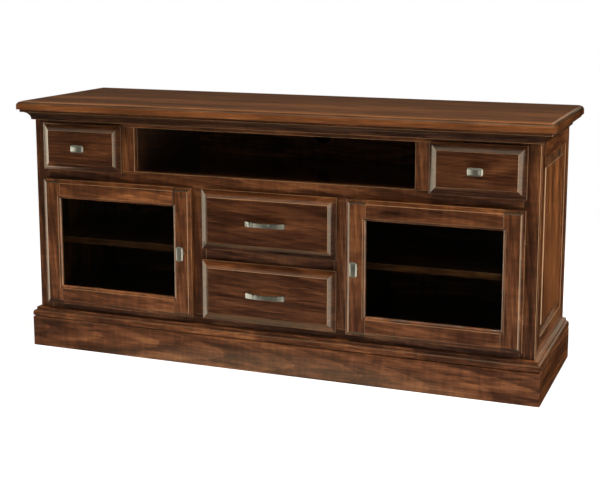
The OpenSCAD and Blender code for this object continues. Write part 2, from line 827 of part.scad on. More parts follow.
// A stem turned round the Y axis, with its foot on the front
module stem(r, foot, l) {
    rotate([90, 0, 0]) cylinder(h = l, r = r);
    rotate([90, 0, 0]) cylinder(h = foot_h, r = foot);
}

// A threaded hole for a handle screw
module bolt_socket() translate([0, past, 0]) rotate([90, 0, 0])
    cylinder(h = bolt_in + 2 * past, r = bolt_d / 2 + bolt_clear);

// A handle screw through wood that is through thick, with its head behind
module bolt(through) {
    translate([0, through, 0]) rotate([90, 0, 0]) cylinder(h = through + bolt_in, r = bolt_d / 2);
    translate([0, through + bolt_head_h, 0]) rotate([90, 0, 0]) cylinder(h = bolt_head_h, r = bolt_d);
}

// The hole that a handle screw needs, back to y
module bolt_hole(x, z, y) rod_y(x, z, [y_front - past, y + past], bolt_d / 2 + bolt_clear);

// A pillow-shaped knob that lies along X, on a round stem
module knob() difference() {
    union() {
        stem(stem_d / 2, knob_foot_d / 2, knob_reach - knob_rise + past);
        translate([0, knob_rise - knob_reach, 0]) rotate([90, 0, 0]) intersection() {
            linear_extrude(knob_rise + past) knob_outline();
            along_x([-knob_l / 2 - past, knob_l / 2 + past]) domed(knob_w, knob_dome);
            along_y([-knob_w / 2 - past, knob_w / 2 + past]) domed(knob_l, knob_dome + knob_end);
        }
    }
    bolt_socket();
}

// The outline of a knob seen from the front
knob_rise = knob_rim + knob_dome;
module knob_outline() {
    square([knob_l - 2 * knob_corner, knob_w], center = true);
    square([knob_l, knob_w - 2 * knob_corner], center = true);
    for (x = [-1, 1], y = [-1, 1])
        translate([x * (knob_l / 2 - knob_corner), y * (knob_w / 2 - knob_corner)]) circle(knob_corner);
}

// A section that rises by dome over a knob's rim within a width w, and runs past its outline
module domed(w, dome) intersection() {
    r = arc_r(w / 2, dome);
    translate([-w / 2 - past, 0]) square([w + 2 * past, knob_rim + dome + past]);
    translate([0, knob_rim + dome - r]) circle(r, $fn = fine);
}

// A bow pull that lies along X, seen from above as a band between two arcs
module pull() {
    band_r = arc_r(pull_l / 2, pull_sag);
    middle = pull_reach - band_r;
    waist_r = arc_r(pull_l / 2, pull_waist / 2);
    inner_at = sqrt(pow(band_r - pull_t, 2) - pow(pull_pitch / 2, 2)) + middle;
    difference() {
        union() {
            intersection() {
                along_z([-pull_h / 2 - past, pull_h / 2 + past]) intersection() {
                    translate([0, -middle]) difference() {
                        circle(band_r, $fn = fine);
                        circle(band_r - pull_t, $fn = fine);
                    }
                    translate([-pull_l / 2, -pull_reach - past]) square([pull_l, pull_reach + past]);
                }
                along_y([-pull_reach - past, 0]) difference() {
                    translate([-pull_l / 2, -pull_h / 2 - past]) square([pull_l, pull_h + 2 * past]);
                    for (s = [-1, 1]) translate([0, s * (pull_h / 2 - pull_waist / 2 + waist_r)])
                        circle(waist_r, $fn = fine);
                }
            }
            for (s = [-1, 1]) translate([s * pull_pitch / 2, 0, 0])
                stem(foot_d / 2, foot_d / 2 + past, inner_at + pull_t / 2);
        }
        for (s = [-1, 1]) translate([s * pull_pitch / 2, 0, 0]) bolt_socket();
    }
}

// Drawers

module drawer_front(o, lap, holes) color(wood) difference() {
    front = lapped(o, lap);
    raised_board(front, cove_w, cove_edge, cove_slope);
    for (x = holes) bolt_hole(x, mid_z(front), y_door);
}

// The dovetails at the end of a box side that is h high, drawn as (y, z). They start in the
// side, leave it at the origin and widen at a steady slope to length l.
module tails(h, l, grow) {
    n = max(2, floor(h / tail_pitch));
    root = tail_pitch * tail_share / 2 - box_t / tail_slope + grow;
    end = root + l / tail_slope;
    for (i = [0 : n - 1]) translate([0, h / 2 + (i - (n - 1) / 2) * tail_pitch]) polygon([
        [glue + past, -root], [0, -root], [-l, -end], [-l, end], [0, root], [glue + past, root]
    ]);
}

// Tails at both ends of a box side, through the thickness from x[0] to x[1]
module side_tails(o, x, l, grow) for (m = [0, 1])
    translate([0, m * (box_y[0] + box_y[1]), 0]) mirror([0, m, 0])
        along_x(x) translate([box_y[0] + box_t, o[2]]) tails(o[3] - o[2], l, grow);

module bottom_room(o, grow) board(
    [o[0] + box_t - groove_d - grow, o[1] - box_t + groove_d + grow],
    [box_y[0] + box_t - groove_d - grow, box_y[1] - box_t + groove_d + grow],
    [o[2] + bottom_up - grow, o[2] + bottom_up + bottom_t + grow]);

module drawer_box(hole, lap, holes) color(box_wood) difference() {
    o = box_of(hole);
    union() {
        for (x = [[o[0], o[0] + box_t], [o[1] - box_t, o[1]]]) {
            board(x, [box_y[0] + box_t + glue, box_y[1] - box_t - glue], [o[2], o[3]]);
            side_tails(o, x, box_t, 0);
        }
        difference() {
            for (y = [[box_y[0], box_y[0] + box_t], [box_y[1] - box_t, box_y[1]]])
                board([o[0], o[1]], y, [o[2], o[3]]);
            for (x = [[o[0] - past, o[0] + box_t + glue], [o[1] - box_t - glue, o[1] + past]])
                side_tails(o, x, box_t + past, glue);
        }
    }
    bottom_room(o, glue);
    for (x = holes) bolt_hole(x, mid_z(lapped(hole, lap)), box_y[0] + box_t);
}

module drawer_bottom(hole) color(plywood) bottom_room(box_of(hole), 0);

module small_knob() color(nickel) handle_at(mid_x(small_hole), mid_z(lapped(small_hole, small_lap))) {
    knob();
    bolt(front_t + box_t);
}

module centre_pull(hole) color(nickel) handle_at(0, mid_z(lapped(hole, full_lap))) {
    pull();
    for (x = pull_holes) translate([x, 0, 0]) bolt(front_t + box_t);
}

module left_drawer_front() at_left() drawer_front(small_hole, small_lap, small_holes);
module left_drawer_box() at_left() drawer_box(small_hole, small_lap, small_holes);
module left_drawer_bottom() at_left() drawer_bottom(small_hole);
module left_drawer_knob() at_left() small_knob();
module left_drawer_runners() at_left() runners(small_hole);
module right_drawer_front() drawer_front(small_hole, small_lap, small_holes);
module right_drawer_box() drawer_box(small_hole, small_lap, small_holes);
module right_drawer_bottom() drawer_bottom(small_hole);
module right_drawer_knob() small_knob();
module right_drawer_runners() runners(small_hole);
module upper_drawer_front() drawer_front(upper_hole, full_lap, pull_holes);
module upper_drawer_box() drawer_box(upper_hole, full_lap, pull_holes);
module upper_drawer_bottom() drawer_bottom(upper_hole);
module upper_drawer_pull() centre_pull(upper_hole);
module upper_drawer_runners() runners(upper_hole);
module lower_drawer_front() drawer_front(lower_hole, full_lap, pull_holes);
module lower_drawer_box() drawer_box(lower_hole, full_lap, pull_holes);
module lower_drawer_bottom() drawer_bottom(lower_hole);
module lower_drawer_pull() centre_pull(lower_hole);
module lower_drawer_runners() runners(lower_hole);

tabletop();
crown_moulding();
plinth();
base_cap();
frame_end_stiles();
frame_top_rail();
frame_middle_rail();
frame_bottom_rail();
frame_drawer_rail();
frame_upper_stiles();
frame_lower_stiles();
left_side_frame();
left_side_panel();
right_side_frame();
right_side_panel();
bottom_deck();
middle_deck();
top_stretchers();
upper_partitions();
lower_partitions();
back_panel();
left_shelf();
right_shelf();
shelf_pins();
slide_packing();
cabinet_slides();
hinge_arms();
hinge_screws();
left_door_stiles();
left_door_rails();
left_door_glass();
left_door_beads();
left_door_knob();
left_door_hinge_cups();
right_door_stiles();
right_door_rails();
right_door_glass();
right_door_beads();
right_door_knob();
right_door_hinge_cups();
left_drawer_front();
left_drawer_box();
left_drawer_bottom();
left_drawer_knob();
left_drawer_runners();
right_drawer_front();
right_drawer_box();
right_drawer_bottom();
right_drawer_knob();
right_drawer_runners();
upper_drawer_front();
upper_drawer_box();
upper_drawer_bottom();
upper_drawer_pull();
upper_drawer_runners();
lower_drawer_front();
lower_drawer_box();
lower_drawer_bottom();
lower_drawer_pull();
lower_drawer_runners();
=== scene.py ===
import json
import math
import random

import bmesh
import bpy
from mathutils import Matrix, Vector


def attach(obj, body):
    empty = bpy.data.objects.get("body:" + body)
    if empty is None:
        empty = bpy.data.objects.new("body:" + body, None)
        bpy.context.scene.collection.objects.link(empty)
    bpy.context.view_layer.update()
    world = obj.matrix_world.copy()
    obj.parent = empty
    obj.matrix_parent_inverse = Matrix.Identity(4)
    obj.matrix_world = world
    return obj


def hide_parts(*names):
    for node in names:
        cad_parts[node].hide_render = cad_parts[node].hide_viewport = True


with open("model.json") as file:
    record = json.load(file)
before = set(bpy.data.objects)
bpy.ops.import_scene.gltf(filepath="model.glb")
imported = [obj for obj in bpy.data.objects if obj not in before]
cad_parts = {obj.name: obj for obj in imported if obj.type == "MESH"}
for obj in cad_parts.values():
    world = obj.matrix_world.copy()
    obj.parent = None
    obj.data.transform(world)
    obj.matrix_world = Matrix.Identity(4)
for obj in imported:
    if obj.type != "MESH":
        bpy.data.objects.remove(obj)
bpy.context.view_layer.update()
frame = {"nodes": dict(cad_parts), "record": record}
cadNodes = frame["nodes"]
bodyOf = {node: body for body, group in frame["record"]["behaviour"]["bodies"].items() for node in group}
print("frame loaded:", len(cadNodes), "nodes")


camera = {
    "place": (1.365, -3.478, 1.175),
    "turn": 21.19,  # degrees to the left of straight on
    "tilt": 9.36,  # degrees down
    "lens": 73.2,
    "sensor": 36.0,
    "shift": -0.12,
    "clipEnd": 200,
}


def addCamera(look):
    data = bpy.data.cameras.new("camera")
    data.lens = look["lens"]
    data.sensor_width = look["sensor"]
    data.shift_y = look["shift"]
    data.clip_end = look["clipEnd"]
    holder = bpy.data.objects.new("camera", data)
    holder.location = look["place"]
    holder.rotation_euler = (math.radians(90 - look["tilt"]), 0, math.radians(look["turn"]))
    bpy.context.scene.collection.objects.link(holder)
    bpy.context.scene.camera = holder


addCamera(camera)
bpy.context.scene.view_settings.view_transform = "Standard"
print("camera placed")


def addNode(tree, kind, inputs=None, **settings):
    made = tree.nodes.new(kind)
    for name, value in settings.items():
        setattr(made, name, value)
    for name, value in (inputs or {}).items():
        if isinstance(value, bpy.types.NodeSocket):
            tree.links.new(value, made.inputs[name])
        else:
            made.inputs[name].default_value = value
    return made


def newMaterial(name):
    material = bpy.data.materials.new(name)
    material.use_nodes = True
    tree = material.node_tree
    tree.nodes.clear()
    return material, tree


def maths(tree, operation, a, b=0.0, clamp=False):
    return addNode(tree, "ShaderNodeMath", {0: a, 1: b}, operation=operation, use_clamp=clamp).outputs[0]


def vectorMaths(tree, operation, a, b):
    return addNode(tree, "ShaderNodeVectorMath", {0: a, 1: b}, operation=operation).outputs[0]


def lengthOf(tree, vector):
    return addNode(tree, "ShaderNodeVectorMath", {0: vector}, operation="LENGTH").outputs["Value"]


def splitVector(tree, vector):
    return addNode(tree, "ShaderNodeSeparateXYZ", {0: vector}).outputs


def mapRange(tree, value, span, result=(0.0, 1.0), interpolation="LINEAR"):
    ends = {"From Min": span[0], "From Max": span[1], "To Min": result[0], "To Max": result[1]}
    made = addNode(tree, "ShaderNodeMapRange", {"Value": value, **ends}, interpolation_type=interpolation)
    return made.outputs[0]


# A noise is given as its stretch per axis, its detail, its roughness and its distortion
def noise(tree, place, look):
    stretch, detail, roughness, distortion = look
    return addNode(
        tree,
        "ShaderNodeTexNoise",
        {
            "Vector": vectorMaths(tree, "MULTIPLY", place, stretch),
            "Scale": 1.0,
            "Detail": detail,
            "Roughness": roughness,
            "Distortion": distortion,
        },
    ).outputs


# A Mix node keeps its two colours and their mix in these sockets
colourA, colourB, colourMixed = 6, 7, 2


def mixColour(tree, share, a, b, blend="MIX"):
    inputs = {0: share, colourA: a, colourB: b}
    made = addNode(tree, "ShaderNodeMix", inputs, data_type="RGBA", blend_type=blend)
    return made.outputs[colourMixed]


def mixShader(tree, share, a, b):
    return addNode(tree, "ShaderNodeMixShader", {0: share, 1: a, 2: b}).outputs[0]


def ramp(tree, value, stops):
    made = addNode(tree, "ShaderNodeValToRGB", {"Fac": value})
    while len(made.color_ramp.elements) < len(stops):
        made.color_ramp.elements.new(0.5)
    for element, (place, colour) in zip(made.color_ramp.elements, stops):
        element.position = place
        element.color = (*colour, 1)
    return made.outputs[0]


def bump(tree, height, strength, depth):
    inputs = {"Height": height, "Strength": strength, "Distance": depth}
    return addNode(tree, "ShaderNodeBump", inputs).outputs[0]


def addSurface(tree, shader):
    addNode(tree, "ShaderNodeOutputMaterial", {"Surface": shader})


def addPrincipled(tree, inputs):
    addSurface(tree, addNode(tree, "ShaderNodeBsdfPrincipled", inputs).outputs[0])


# A glued-up panel: each stave has its own figure and tone
def cutStaves(tree, place, tone, look):
    along, across, through = splitVector(tree, place)
    count = maths(tree, "DIVIDE", across, look["width"])
    stave = maths(tree, "FLOOR", count)
    dice = addNode(tree, "ShaderNodeTexWhiteNoise", {"W": stave}, noise_dimensions="1D").outputs
    rolls = splitVector(tree, dice["Color"])
    offCentre = maths(tree, "SUBTRACT", maths(tree, "FRACT", count), 0.5)
    across = maths(tree, "MULTIPLY", offCentre, look["width"])
    along = maths(tree, "ADD", along, maths(tree, "MULTIPLY", rolls[0], look["driftAlong"]))
    across = maths(tree, "ADD", across, maths(tree, "MULTIPLY", rolls[1], look["driftAcross"]))
    place = addNode(tree, "ShaderNodeCombineXYZ", {0: along, 1: across, 2: through}).outputs[0]
    diced = maths(tree, "MULTIPLY", dice["Value"], look["toneSpread"])
    return place, maths(tree, "ADD", maths(tree, "MULTIPLY", tone, look["boardTone"]), diced)


# Every board carries its own coordinates: along the grain, over its width, through its thickness
def wood(name, look):
    material, tree = newMaterial(name)
    place = addNode(tree, "ShaderNodeAttribute", attribute_name="grain").outputs["Vector"]
    tone, endGrain, worn, glaze = (
        addNode(tree, "ShaderNodeAttribute", attribute_name=layer).outputs["Fac"]
        for layer in ("tone", "endGrain", "worn", "glaze")
    )
    if look["staves"]:
        place, tone = cutStaves(tree, place, tone, look["staves"])

    # growth rings round a heart that lies behind the board and is a little out of line with it
    swayed = noise(tree, place, look["swayNoise"])["Color"]
    swayed = vectorMaths(tree, "SUBTRACT", swayed, (0.5, 0.5, 0.5))
    bent = vectorMaths(tree, "ADD", place, vectorMaths(tree, "MULTIPLY", swayed, look["sway"]))
    heart = addNode(
        tree,
        "ShaderNodeMapping",
        {"Vector": bent, "Location": look["heart"], "Rotation": look["lean"]},
        vector_type="POINT",
    ).outputs[0]
    ringScale = math.tau / 20 / look["ringSpace"]  # a wave of scale 1 repeats every tau / 20
    rings = addNode(
        tree,
        "ShaderNodeTexWave",
        {"Vector": heart, "Scale": ringScale, **look["rings"]},
        wave_type="RINGS",
        rings_direction="X",
        wave_profile="SAW",
    ).outputs["Fac"]

    patches = noise(tree, place, look["patch"])["Fac"]
    streaks = noise(tree, bent, look["streak"])["Fac"]
    fibres = noise(tree, place, look["fibre"])["Fac"]
    curl = noise(tree, place, look["curl"])["Fac"]
    shade = maths(tree, "MULTIPLY", patches, look["patchShare"])
    for value, share in (
        (rings, look["ringShare"]),
        (streaks, look["streakShare"]),
        (fibres, look["fibreShare"]),
        (curl, look["curlShare"]),
    ):
        shade = maths(tree, "ADD", shade, maths(tree, "MULTIPLY", value, share))
    colour = ramp(tree, shade, look["colours"])

    colour = mixColour(tree, 1.0, colour, ramp(tree, tone, look["tones"]), "MULTIPLY")
    # tilted faces (roundings, coves, bevels) darken: partly a dark glaze, partly painted shade
    glazedAndShaded = mixColour(tree, 1.0, colour, (*look["glaze"], 1), "MULTIPLY")
    colour = mixColour(tree, glaze, colour, glazedAndShaded)
    # eased edges turn lighter: partly rubbed wear, partly a painted highlight along each edge
    colour = mixColour(tree, maths(tree, "MULTIPLY", worn, look["wearAndHighlightShare"]), colour, (*look["worn"], 1))
    ends = ramp(tree, noise(tree, place, look["endSpeck"])["Fac"], look["ends"])
    colour = mixColour(tree, maths(tree, "MULTIPLY", endGrain, look["endShare"]), colour, ends)

    height = maths(tree, "ADD", fibres, maths(tree, "MULTIPLY", streaks, look["streakRelief"]))
    rough = maths(tree, "MULTIPLY", maths(tree, "ADD", fibres, patches), look["roughSpread"])
    addPrincipled(
        tree,
        {
            "Base Color": colour,
            "Roughness": maths(tree, "ADD", rough, look["rough"] - look["roughSpread"]),
            "Normal": bump(tree, height, look["relief"], look["reliefDepth"]),
            "Specular IOR Level": look["gloss"],
            "Coat Weight": look["coat"],
            "Coat Roughness": look["coatRough"],
            "Coat IOR": look["coatIor"],
        },
    )
    return material


stainedMaple = {
    "staves": None,
    "swayNoise": ((2.2, 11.0, 11.0), 2.0, 0.55, 0.0),
    "sway": (0.0, 0.010, 0.008),
    "heart": (0.0, 0.012, 0.055),
    "lean": (0.0, 0.05, 0.035),
    "ringSpace": 0.0105,
    "rings": {"Distortion": 1.2, "Detail": 3.0, "Detail Scale": 1.6, "Detail Roughness": 0.6},
    "patch": ((4.5, 30.0, 30.0), 4.0, 0.6, 0.5),
    "streak": ((7.0, 240.0, 240.0), 4.0, 0.62, 0.0),
    "fibre": ((22.0, 800.0, 800.0), 3.0, 0.6, 0.0),
    "curl": ((52.0, 12.0, 12.0), 2.0, 0.5, 0.6),
    "patchShare": 0.56,
    "ringShare": 0.07,
    "streakShare": 0.20,
    "fibreShare": 0.18,
    "curlShare": 0.14,
    "colours": [
        (0.42, (0.018, 0.0058, 0.0018)),
        (0.54, (0.062, 0.0184, 0.0050)),
        (0.62, (0.128, 0.0405, 0.0110)),
        (0.71, (0.225, 0.0820, 0.0235)),
        (0.82, (0.330, 0.1430, 0.0460)),
    ],
    "tones": [(0.0, (0.52, 0.49, 0.47)), (0.5, (1.0, 1.0, 1.0)), (1.0, (1.46, 1.50, 1.50))],
    # multiplied onto tilted faces: partly a dark glaze, partly painted shade
    "glaze": (0.32, 0.38, 0.48),
    # lighter colour for eased edges: partly rubbed wear, partly a painted highlight
    "worn": (0.30, 0.165, 0.070),
    "wearAndHighlightShare": 0.6,
    "ends": [(0.35, (0.010, 0.0065, 0.0035)), (0.7, (0.034, 0.018, 0.009))],
    "endSpeck": ((5.0, 420.0, 420.0), 3.0, 0.7, 0.0),
    "endShare": 0.9,
    "rough": 0.30,
    "roughSpread": 0.08,
    "relief": 0.12,
    "reliefDepth": 0.0004,
    "streakRelief": 0.7,
    "gloss": 0.22,
    "coat": 1.0,
    "coatRough": 0.14,
    "coatIor": 1.65,
}

# Straighter, calmer boards, chosen for the drawer fronts
calmMaple = dict(
    stainedMaple, patchShare=0.46, ringShare=0.06, streakShare=0.26, fibreShare=0.30, curlShare=0.05
)

topStaves = {"width": 0.093, "driftAlong": 7.0, "driftAcross": 0.09, "boardTone": 0.5, "toneSpread": 0.7}

# The tabletop's staves match closely, with little contrast in the grain
topMaple = dict(
    calmMaple,
    staves=topStaves,
    colours=[
        (0.42, (0.052, 0.0165, 0.0046)),
        (0.54, (0.086, 0.0265, 0.0070)),
        (0.62, (0.128, 0.0405, 0.0110)),
        (0.71, (0.182, 0.0640, 0.0180)),
        (0.82, (0.250, 0.0980, 0.0300)),
    ],
)

sideMaple = dict(
    calmMaple,
    staves=dict(topStaves, width=0.071),
    tones=[(0.0, (0.85, 0.84, 0.82)), (1.0, (1.9, 2.0, 2.0))],
)

# The same stain inside the case, made darker: partly laid on thicker, partly painted shade of the dim inside
shadedInsideStain = dict(
    stainedMaple,
    colours=[
        (0.36, (0.008, 0.0036, 0.0018)),
        (0.52, (0.022, 0.0085, 0.0036)),
        (0.64, (0.046, 0.0180, 0.0070)),
        (0.76, (0.076, 0.0320, 0.0125)),
        (0.90, (0.110, 0.0500, 0.0200)),
    ],
    worn=(0.09, 0.04, 0.018),
    gloss=0.1,
)

clearBirch = dict(
    stainedMaple,
    colours=[
        (0.36, (0.300, 0.165, 0.070)),
        (0.52, (0.420, 0.250, 0.115)),
        (0.64, (0.520, 0.335, 0.165)),
        (0.76, (0.600, 0.410, 0.220)),
        (0.90, (0.680, 0.490, 0.290)),
    ],
    worn=(0.62, 0.44, 0.25),
    ends=[(0.35, (0.20, 0.105, 0.045)), (0.7, (0.36, 0.205, 0.10))],
    patchShare=0.36,
    rough=0.46,
    coat=0.1,
)

sandedPly = dict(
    clearBirch,
    colours=[
        (0.36, (0.190, 0.105, 0.048)),
        (0.52, (0.270, 0.155, 0.074)),
        (0.64, (0.340, 0.205, 0.102)),
        (0.76, (0.400, 0.250, 0.130)),
        (0.90, (0.450, 0.300, 0.165)),
    ],
    ringSpace=0.02,
    rough=0.62,
    coat=0.0,
)


def satinNickel(name, look):
    material, tree = newMaterial(name)
    place = addNode(tree, "ShaderNodeTexCoord").outputs["Object"]
    brushed = noise(tree, place, look["brush"])["Fac"]
    clouds = noise(tree, place, look["clouds"])["Fac"]
    rough = maths(tree, "MULTIPLY", brushed, look["roughSpread"])
    addPrincipled(
        tree,
        {
            "Base Color": mixColour(tree, clouds, (*look["deep"], 1), (*look["pale"], 1)),
            "Metallic": 1.0,
            "Roughness": maths(tree, "ADD", rough, look["rough"]),
            "Normal": bump(tree, brushed, look["relief"], look["reliefDepth"]),
        },
    )
    return material


handleNickel = {
    "deep": (0.40, 0.44, 0.45),
    "pale": (0.54, 0.58, 0.59),
    "brush": ((180.0, 2600.0, 2600.0), 3.0, 0.6, 0.0),
    "clouds": ((60.0, 60.0, 60.0), 3.0, 0.55, 0.0),
    "rough": 0.43,
    "roughSpread": 0.10,
    "relief": 0.12,
    "reliefDepth": 0.00008,
}
hingeNickel = dict(handleNickel, deep=(0.60, 0.60, 0.58), pale=(0.72, 0.71, 0.69), rough=0.36)
slideZinc = dict(handleNickel, deep=(0.42, 0.43, 0.44), pale=(0.56, 0.57, 0.58), rough=0.30)


def clearGlass(name, look):
    material, tree = newMaterial(name)
    place = addNode(tree, "ShaderNodeTexCoord").outputs["Object"]
    waves = noise(tree, place, look["waves"])["Fac"]
    addPrincipled(
        tree,
        {
            "Base Color": look["colour"],
            "Roughness": look["rough"],
            "IOR": look["ior"],
            "Transmission Weight": 1.0,
            "Normal": bump(tree, waves, look["relief"], look["reliefDepth"]),
        },
    )
    return material


paneGlass = {
    "colour": (0.72, 0.78, 0.76, 1),
    "rough": 0.02,
    "ior": 1.45,
    "waves": ((3.0, 3.0, 3.0), 1.0, 0.55, 0.0),
    "relief": 0.05,
    "reliefDepth": 0.001,
}

finishes = {
    "stained": wood("stainedMaple", stainedMaple),
    "calm": wood("calmMaple", calmMaple),
    "topStaves": wood("topMapleStaves", topMaple),
    "sideStaves": wood("sideMapleStaves", sideMaple),
    "inside": wood("shadedInsideStain", shadedInsideStain),
    "birch": wood("clearBirch", clearBirch),
    "ply": wood("sandedPly", sandedPly),
    "handle": satinNickel("handleNickel", handleNickel),
    "hinge": satinNickel("hingeNickel", hingeNickel),
    "slide": satinNickel("slideZinc", slideZinc),
    "glass": clearGlass("paneGlass", paneGlass),
}
print("materials made")


copied = {"weld": 0.000002, "flat": 0.3}  # points closer than this join, and faces flatter than this


def pick(piece):
    bpy.ops.object.select_all(action="DESELECT")
    piece.select_set(True)
    bpy.context.view_layer.objects.active = piece


def camelName(node):
    first, *rest = node.split("_")
    return first + "".join(word.capitalize() for word in rest)


def copyNode(node):
    piece = bpy.data.objects.new(camelName(node), cadNodes[node].data.copy())
    bpy.context.scene.collection.objects.link(piece)
    pick(piece)
    bpy.ops.object.mode_set(mode="EDIT")
    bpy.ops.mesh.select_all(action="SELECT")
    bpy.ops.mesh.remove_doubles(threshold=copied["weld"])
    bpy.ops.mesh.dissolve_limited(angle_limit=math.radians(copied["flat"]))
    bpy.ops.object.mode_set(mode="OBJECT")
    return piece


# Opens a piece with none of its edges chosen
def openEdges(piece):
    pick(piece)
    bpy.ops.object.mode_set(mode="EDIT")
    bpy.ops.mesh.select_mode(type="EDGE")
    bpy.ops.mesh.select_all(action="DESELECT")
    return bmesh.from_edit_mesh(piece.data)


# Whether one of the edge's faces looks along an axis, to within the given share
def meetsFace(edge, axis, square=0.9):
    return any(abs(face.normal[axis]) > square for face in edge.link_faces)


# Bevels the edges that are sharper and longer than the given limits, and marks the new faces as worn and
# lit: partly rubbed wear, partly a painted highlight along the edges.
# Edges in the faces that look along the axis butt are left sharp.
def easeEdges(piece, width, steps, shortest, sharpest, butt=None):
    mesh = openEdges(piece)
    mesh.loops.layers.float.new("worn")
    for edge in mesh.edges:
        if edge.is_manifold and edge.calc_face_angle(0) > math.radians(sharpest):
            joined = butt is not None and meetsFace(edge, butt)
            edge.select_set(edge.calc_length() > shortest and not joined)
    bmesh.update_edit_mesh(piece.data)
    bpy.ops.mesh.bevel(offset=width, segments=steps, profile=0.5, clamp_overlap=True)
    mesh = bmesh.from_edit_mesh(piece.data)
    wearAndHighlightLayer = mesh.loops.layers.float["worn"]
    for face in mesh.faces:
        longest = max(edge.calc_length() for edge in face.edges)
        if face.select and face.calc_area() < longest * width:
            for corner in face.loops:
                corner[wearAndHighlightLayer] = 1.0
    bmesh.update_edit_mesh(piece.data)
    bpy.ops.object.mode_set(mode="OBJECT")


# The boards of a node, each as the points that its edges join
def splitBoards(mesh):
    seen = set()
    for start in mesh.verts:
        if start.index in seen:
            continue
        board, waiting = [], [start]
        seen.add(start.index)
        while waiting:
            point = waiting.pop()
            board.append(point)
            for edge in point.link_edges:
                other = edge.other_vert(point)
                if other.index not in seen:
                    seen.add(other.index)
                    waiting.append(other)
        yield board


grain = {
    "drift": (20, 0.035, 0.02),  # how far a board's figure is moved at most, along, across and through
    "toneSpread": 0.1,
    # leaning faces take a dark glaze that is partly painted shade
    "glazeAndShadeTilt": 0.12,  # faces that lean this far from square hold all of the glaze
}


# Writes every board's own coordinates, tone and end grain into its mesh
def layGrain(piece, seed, middleTone, endShare, glazeAndShadeShare, leans):
    mesh = bmesh.new()
    mesh.from_mesh(piece.data)
    grainLayer = mesh.verts.layers.float_vector.new("grain")
    toneLayer = mesh.verts.layers.float.new("tone")
    endLayer = mesh.loops.layers.float.new("endGrain")
    glazeAndShadeLayer = mesh.loops.layers.float.new("glaze")
    draw = random.Random(seed)
    for board in splitBoards(mesh):
        low = [min(point.co[axis] for point in board) for axis in range(3)]
        high = [max(point.co[axis] for point in board) for axis in range(3)]
        order = sorted(range(3), key=lambda axis: low[axis] - high[axis])
        middle = [(low[axis] + high[axis]) / 2 for axis in range(3)]
        shift = [draw.uniform(-reach, reach) for reach in grain["drift"]]
        turn = draw.choice((-1, 1))
        tone = middleTone + draw.uniform(-grain["toneSpread"], grain["toneSpread"])
        for point in board:
            place = [(point.co[axis] - middle[axis]) * turn for axis in order]
            point[grainLayer] = Vector([value + moved for value, moved in zip(place, shift)])
            point[toneLayer] = tone
        along = order[0]
        for face in {face for point in board for face in point.link_faces}:
            lean = abs(face.normal[along])
            share = endShare * min(1.0, max(0.0, (lean - leans[0]) / (leans[1] - leans[0])))
            # tilted faces take the glaze, partly painted shade
            tilt = 1 - max(abs(value) for value in face.normal)
            glaze = glazeAndShadeShare * min(1.0, tilt / grain["glazeAndShadeTilt"])
            for corner in face.loops:
                corner[endLayer] = share
                corner[glazeAndShadeLayer] = glaze
    mesh.to_mesh(piece.data)
    mesh.free()


# Smooths the faces that meet at less than the angle, and keeps flat faces flat where asked to
def smoothFaces(piece, angle, flat=True):
    pick(piece)
    bpy.ops.object.shade_smooth_by_angle(angle=math.radians(angle))
    if not flat:
        return
    weighted = piece.modifiers.new("flatFaces", "WEIGHTED_NORMAL")
    weighted.keep_sharp = True
    bpy.ops.object.modifier_apply(modifier=weighted.name)


def finishPiece(piece, node, finish):
    piece.data.materials.clear()
    piece.data.materials.append(finishes[finish])
    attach(piece, bodyOf[node])
    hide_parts(node)


easing, fineEasing = 0.0011, 0.0006

